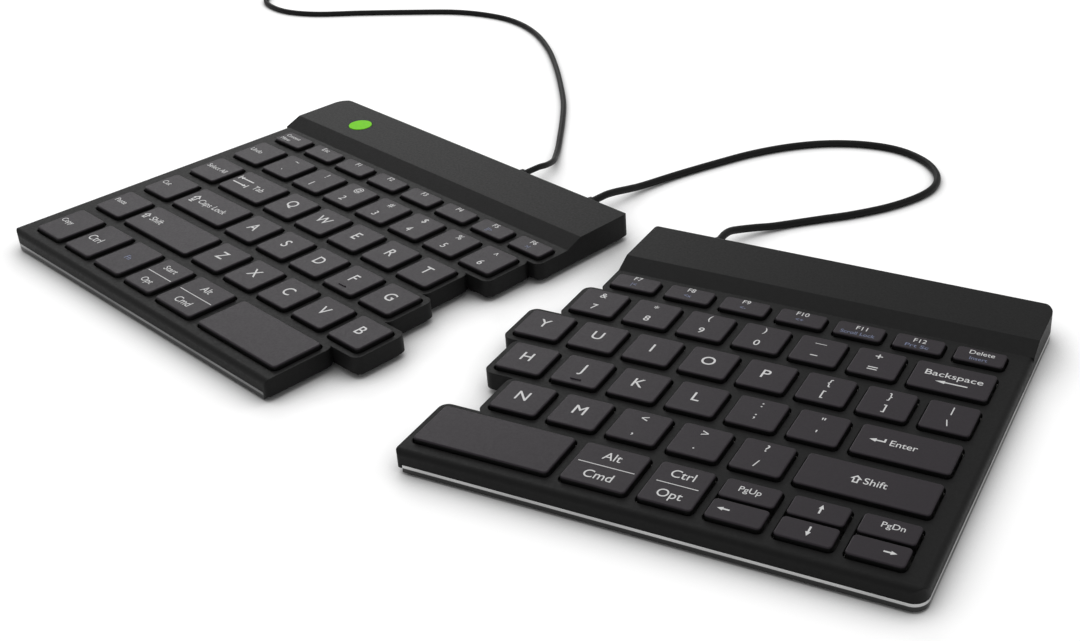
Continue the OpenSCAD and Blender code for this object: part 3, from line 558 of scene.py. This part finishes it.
LEFT_KEYS = ["left_side_keys", "escape_key", "left_function_keys", "left_number_keys", "tab_key",
             "left_upper_keys", "caps_lock_key", "left_home_keys", "left_shift_key", "left_lower_keys",
             "left_ctrl_key", "fn_key", "left_meta_key", "left_alt_key", "left_space_key"]
RIGHT_KEYS = ["right_function_keys", "delete_key", "right_number_keys", "backspace_key", "right_upper_keys",
              "right_home_keys", "enter_key", "right_lower_keys", "right_shift_key", "right_space_key",
              "right_alt_key", "right_ctrl_key", "page_up_key", "arrow_left_key", "arrow_up_key",
              "arrow_down_key", "page_down_key", "arrow_right_key"]
SIDE = {**{n: 0 for n in LEFT_KEYS}, **{n: 1 for n in RIGHT_KEYS}}
boxes = {}
for name, side in SIDE.items():
    boxes[name] = sorted(key_boxes(name, side), key=lambda b: -b[1] if name == "left_side_keys" else b[0])
    bm = bmesh.new()
    for box in boxes[name]:
        add_cap(bm, box, HALVES[side])
    if name in HOMING_KEYS:
        add_homing_bar(bm, boxes[name][HOMING_KEYS[name]], HALVES[side])
    cap = wear(finish_mesh(name.replace("key", "cap"), bm), KEYS)
    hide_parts(name)
    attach(cap, body_of_node[name])


# Scissor levers: a piece for each key, split from the half's levers and carried by the half


def key_over(side, point):
    """The key node that lies over a point of a half."""
    return next(name for name in SIDE if SIDE[name] == side
                and any(b[0] < point.x < b[2] and b[1] < point.y < b[3] for b in boxes[name]))


for side, node in enumerate(("left_scissor_levers", "right_scissor_levers")):
    bm = welded(node)
    owner = {}
    for group in islands(bm):
        middle = sum((v.co for v in group), Vector()) / len(group)
        key = key_over(side, HALVES[side].inverted() @ middle)
        owner.update((v.index, key) for v in group)
    for name in sorted(set(owner.values())):
        own = bm.copy()
        bmesh.ops.delete(own, geom=[v for v in own.verts if owner[v.index] != name], context="VERTS")
        levers = wear(finish_mesh(name.rsplit("_", 1)[0] + "_levers", own), LEVER)
        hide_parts(node)
        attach(levers, ("left_half", "right_half")[side])
        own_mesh(levers)
    bm.free()


# Legends: each mark is a flat mesh in millimetres with its place from the key's middle

PROUD = 0.01
PRINT_T = 0.04
BOLD, FINE = 0.010, 0.005
STROKE = 0.55
SIDE_WORD_X = -6.1


def font_mesh(text, size, bold):
    """A word as a thin closed slab, its strokes widened by bold on each side."""
    curve = bpy.data.curves.new("legend", "FONT")
    curve.body = text
    curve.size = size
    curve.bevel_depth = bold
    curve.bevel_resolution = 0
    obj = add(bpy.data.objects.new("legend", curve))
    bpy.context.view_layer.update()
    mesh = bpy.data.meshes.new_from_object(obj.evaluated_get(bpy.context.evaluated_depsgraph_get()))
    bpy.data.objects.remove(obj)
    bpy.data.curves.remove(curve)
    mesh.transform(Matrix.Diagonal((1, 1, PRINT_T / 2 / bold, 1)))
    return mesh


def reach(mesh, axis):
    values = [v.co[axis] for v in mesh.vertices]
    return min(values), max(values)


CAPITAL = reach(font_mesh("H", 1, 0.001), 1)[1]


def word(text, x, y, cap, width=None, faint=False, left=False):
    """A word or a sign with capitals cap high, stretched to a width, middle or left edge at x."""
    bold = cap * (BOLD if len(text) == 1 else FINE)
    mesh = font_mesh(text, (cap - 2 * bold) / CAPITAL, bold)
    x0, x1 = reach(mesh, 0)
    y_mid = cap / 2 - bold if len(text) > 1 else sum(reach(mesh, 1)) / 2
    mesh.transform(Matrix.Translation((-x0 if left else -(x0 + x1) / 2, -y_mid, 0)))
    if width:
        mesh.transform(Matrix.Diagonal((width / (x1 - x0), 1, 1, 1)))
    return mesh, x, y, faint


def drawn(polygons, x, y, turn=0):
    """A mark of thin slabs, turned by some degrees."""
    bm = bmesh.new()
    for polygon in polygons:
        lower, upper = ([bm.verts.new((*p, z)) for p in polygon] for z in (-PRINT_T / 2, PRINT_T / 2))
        bm.faces.new(reversed(lower))
        bm.faces.new(upper)
        for j in range(len(polygon)):
            k = (j + 1) % len(polygon)
            bm.faces.new((lower[j], lower[k], upper[k], upper[j]))
    mesh = bpy.data.meshes.new("mark")
    bm.to_mesh(mesh)
    bm.free()
    mesh.transform(Matrix.Rotation(radians(turn), 4, "Z"))
    return mesh, x, y, False


def bar(w, h, x=0, y=0):
    return [(x - w / 2, y - h / 2), (x + w / 2, y - h / 2), (x + w / 2, y + h / 2), (x - w / 2, y + h / 2)]


def arrow(length, hook=0, head=1.7, wide=1.5):
    """An arrow to the left; hook raises the end of its shaft."""
    tip, neck, end, s = -length / 2, head - length / 2, length / 2, STROKE / 2
    rear = [(end, s)]
    if hook:
        rear = [(end, hook), (end - STROKE, hook), (end - STROKE, s)]
    return [(tip, 0), (neck, -wide / 2), (neck, -s), (end, -s), *rear, (neck, s), (neck, wide / 2)]


def hollow_arrow(w):
    """The outline of a broad arrow that points up, as one strip whose ends all but meet at the foot."""
    outer = [(0.004, -0.5), (0.25, -0.5), (0.25, 0), (0.5, 0)]
    inner = [(0.24, 0.1), (0.12, 0.1), (0.12, -0.37), (0.004, -0.37)]
    outer += [(0, 0.5)] + [(-x, y) for x, y in reversed(outer)]
    inner = [(-x, y) for x, y in reversed(inner)] + [(0, 0.28)] + inner
    return [[(x * w, y * w) for x, y in outer + inner]]


def letters(text):
    return [[word(c, -0.5, 0.65, 4.2)] for c in text]


def pairs(low, high):
    return [[word(a, -0.45, -3.1, 3.0), word(b, -0.45, 4.1, 2.7)] for a, b in zip(low, high)]


def functions(first, last, x, y, marks):
    keys = []
    for i in range(first, last + 1):
        keys.append([word(f"F{i}", x, y, 2.1)])
        if i in marks:
            keys[-1].append(word(marks[i], x, -1.1, 1.7, faint=True))
    return keys


def divided(upper, lower, rule, cap, up=4.5, down=-4.3):
    return [[word(upper, 0, up, cap), drawn([bar(rule, 0.28)], 0.2, 0), word(lower, 0, down, cap)]]


MEDIA = {5: "||>", 6: ">|", 7: "|<", 8: "<x", 9: "<-", 10: "<+"}
TAB_BAR = (STROKE, 2.4)
LEGENDS = {
    "left_side_keys": [
        [word("Context", SIDE_WORD_X, 1.4, 1.7, left=True),
         word("Menu", SIDE_WORD_X, -1.4, 1.7, left=True)],
        *[[word(text, SIDE_WORD_X, 0.6, 2.1, left=True)]
          for text in ("Undo", "Select All", "Cut", "Paste", "Copy")]],
    "escape_key": [[word("Esc", -1.2, 2.2, 2.1)]],
    "left_function_keys": functions(1, 6, -0.6, 2.2, MEDIA),
    "left_number_keys": pairs("`123456", "~!@#$%^"),
    "tab_key": [[drawn([arrow(8), bar(*TAB_BAR, x=-4.3)], -6.5, 1.9),
                 drawn([arrow(8), bar(*TAB_BAR, x=-4.3)], -6.5, -1.6, 180), word("Tab", 3.4, 0, 2.6)]],
    "left_upper_keys": letters("QWERT"),
    "caps_lock_key": [[drawn(hollow_arrow(4) + [bar(2, STROKE, y=-2.6)], -10.4, 0.4),
                       word("Caps Lock", 0.6, 0, 2.6, 16)]],
    "left_home_keys": letters("ASDFG"),
    "left_shift_key": [[drawn(hollow_arrow(3.4), -16.6, 0.4), word("Shift", -9.9, 0.4, 2.7)]],
    "left_lower_keys": letters("ZXCVB"),
    "left_ctrl_key": [[word("Ctrl", -2, 0, 3)]],
    "fn_key": [[word("Fn", 0, 0, 2.2, faint=True)]],
    "left_meta_key": divided("Start", "Opt", 13.3, 2.4),
    "left_alt_key": divided("Alt", "Cmd", 17.6, 2.8),
    "right_function_keys": functions(7, 10, -0.3, 2.4, MEDIA) + [
        [word("F11", 0.4, 1.4, 2.1), word("Scroll Lock", 0, -1.9, 1.7, 11.4, faint=True)],
        [word("F12", 0, 1.4, 2.1), word("Prt Sc", -0.2, -1.8, 1.7, 7.6, faint=True)]],
    "delete_key": [[word("Delete", 0.3, 1.6, 2.1), word("Insert", -0.1, -1.8, 1.7, faint=True)]],
    "right_number_keys": pairs("7890", "&*()") + [
        [word("-", -0.45, -3.1, 3, 2.4), word("_", -0.45, 3.6, 3, 3.8)],
        [word("=", -0.45, -3.1, 3.6, 3.2), word("+", -0.45, 3.8, 3.4)]],
    "backspace_key": [[word("Backspace", 0.3, 1.65, 2.7, 18),
                       drawn([arrow(10, head=3, wide=1.6)], 0.4, -2.3)]],
    "right_upper_keys": letters("YUIOP") + [[word(a, 0, -3, 3), word(b, 0, 3.2, 3)]
                                            for a, b in zip("[]\\", "{}|")],
    "right_home_keys": letters("HJKL") + [[word(";", 0, -2, 3), word(":", 0, 4, 3)],
                                          [word("'", 0, -2, 3), word('"', 0, 4.3, 3)]],
    "enter_key": [[drawn([arrow(4.8, hook=1.4, head=2, wide=1.7)], -8.6, 0.4),
                   word("Enter", -0.8, 0.6, 2.6)]],
    "right_lower_keys": letters("NM") + [[word(a, x, y, 3), word(b, -0.2, 4, 3)] for a, b, x, y in (
        (",", "<", -0.4, -4.1), (".", ">", -0.5, -3.6), ("/", "?", -0.6, -3.4))],
    "right_shift_key": [[drawn(hollow_arrow(3.4), -3.6, 0.45), word("Shift", 2, 0.45, 2.7)]],
    "right_alt_key": divided("Alt", "Cmd", 17.3, 3.2),
    "right_ctrl_key": divided("Ctrl", "Opt", 12.5, 3.2),
    "page_up_key": [[word("PgUp", -0.2, 0.55, 2.2)]],
    "page_down_key": [[word("PgDn", 0.7, 0.95, 2.2)]],
    "arrow_left_key": [[drawn([arrow(3.6)], -4, 0.2)]],
    "arrow_up_key": [[drawn([arrow(3.7)], 0.3, 0.5, -90)]],
    "arrow_down_key": [[drawn([arrow(3.9)], 0.4, 0.2, 90)]],
    "arrow_right_key": [[drawn([arrow(3.7)], 3, 0.2, 180)]],
}
for name, keys in LEGENDS.items():
    bm = bmesh.new()
    for box, marks in zip(boxes[name], keys):
        for mesh, x, y, faint in marks:
            middle = key_middle(box) + Vector((x, y, PROUD)) * MM
            mesh.transform(HALVES[SIDE[name]] @ Matrix.Translation(middle) @ Matrix.Scale(MM, 4))
            mesh.polygons.foreach_set("material_index", [int(faint)] * len(mesh.polygons))
            bm.from_mesh(mesh)
            bpy.data.meshes.remove(mesh)
    legend = to_object(name + "_legends", bm)
    for mat in (PRINT, FAINT):
        legend.data.materials.append(mat)
    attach(legend, body_of_node[name])


# Studio

WORLD_LIGHT = 0.7


def lamp(name, place, aim, size, power):
    data = bpy.data.lights.new(name, "AREA")
    data.shape = "RECTANGLE"
    data.size, data.size_y = size
    data.energy = power
    obj = add(bpy.data.objects.new(name, data))
    obj.location = place
    obj.rotation_mode = "QUATERNION"
    obj.rotation_quaternion = (Vector(aim) - Vector(place)).to_track_quat("-Z", "Y")


lamp("top", (-0.1, 0.25, 1.3), (0, 0.05, 0), (1.6, 1.2), 5)
lamp("sheen", (-1.3, 1.1, 0.9), (-0.1, 0.05, 0), (1.0, 0.7), 6)

world = bpy.data.worlds.new("studio")
world.use_nodes = True
world.node_tree.nodes["Background"].inputs["Color"].default_value = (1, 1, 1, 1)
world.node_tree.nodes["Background"].inputs["Strength"].default_value = WORLD_LIGHT
scene.world = world

FLOOR_GLOW = 0.24
FLOOR_HALF = 6
# Painted shadow: near the keyboard the floor's colour is darkened toward a grey and its glow is dimmed, by
# ambient occlusion within CONTACT.
FLOOR_PAINTED_SHADOW, FLOOR_FAR = grey(0.42), grey(0.88)
CONTACT = 18 * MM
CONTACT_RANGE = (0.35, 0.95)
bm = bmesh.new()
bmesh.ops.create_grid(bm, x_segments=1, y_segments=1, size=FLOOR_HALF)
floor_plane = finish_mesh("floor", bm)
floor_mat, shader, tree, node = material("floor")
rays = node("ShaderNodeLightPath")
seen = node("ShaderNodeMath", operation="MAXIMUM")
tree.links.new(rays.outputs["Is Camera Ray"], seen.inputs[0])
tree.links.new(rays.outputs["Is Glossy Ray"], seen.inputs[1])
seen_through = node("ShaderNodeMath", operation="MAXIMUM")
tree.links.new(seen.outputs[0], seen_through.inputs[0])
tree.links.new(rays.outputs["Is Transmission Ray"], seen_through.inputs[1])
# Painted contact shadow: ambient occlusion darkens the floor's colour and takes away its glow near the
# keyboard.
contact = node("ShaderNodeAmbientOcclusion", Distance=CONTACT)
openness = spread(tree, node, contact.outputs["AO"], CONTACT_RANGE, (0, 1))
glow = node("ShaderNodeMath", operation="MULTIPLY")
glow.inputs[1].default_value = FLOOR_GLOW
tree.links.new(seen_through.outputs[0], glow.inputs[0])
tree.links.new(glow.outputs[0], shader.inputs["Emission Strength"])
tree.links.new(blend_colour(tree, node, openness, grey(0), grey(1)), shader.inputs["Emission Color"])
tree.links.new(blend_colour(tree, node, openness, FLOOR_PAINTED_SHADOW, FLOOR_FAR), shader.inputs["Base Color"])
shader.inputs["Roughness"].default_value = 0.9
shader.inputs["Specular IOR Level"].default_value = 0.1
wear(floor_plane, floor_mat)

scene.view_settings.view_transform = "Standard"
